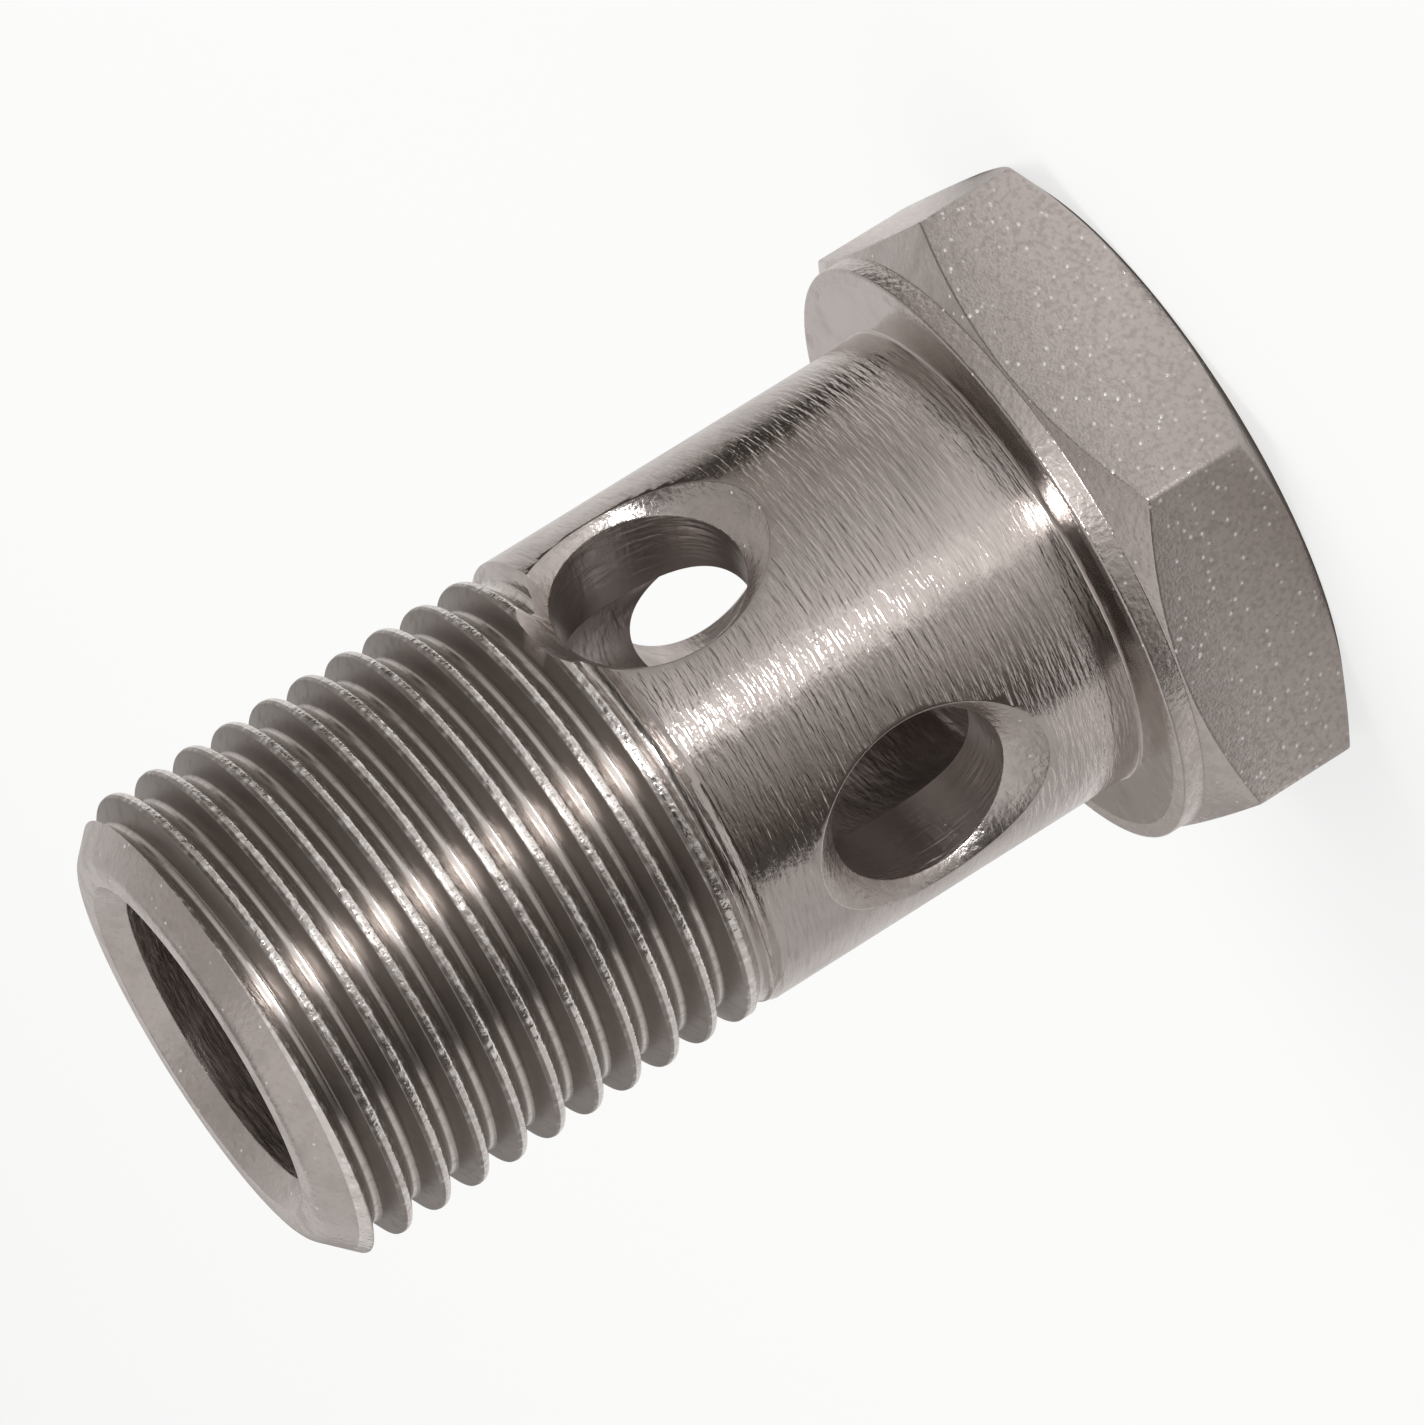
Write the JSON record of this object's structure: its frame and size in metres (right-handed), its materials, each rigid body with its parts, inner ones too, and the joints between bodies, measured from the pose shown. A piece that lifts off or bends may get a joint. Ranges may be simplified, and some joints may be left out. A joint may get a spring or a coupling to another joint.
{
  "type": "banjo bolt",
  "caption": "Hollow hexagon bolt with a blind bore, two crossed radial ports in its plain shank and a fine pipe thread, for banjo fittings.",
  "frame": {"origin": "centre of the bearing face under the head, where it meets the shank", "axes": "+Z along the bolt axis from the head towards the thread tip, +X through a corner of the hexagon"},
  "size_m": [0.0312, 0.027, 0.0463],
  "materials": {
    "nickel_plate": "satin nickel plate over turned brass"
  },
  "bodies": {
    "root": {"banjo_bolt": "nickel_plate"}
  },
  "joints": []
}
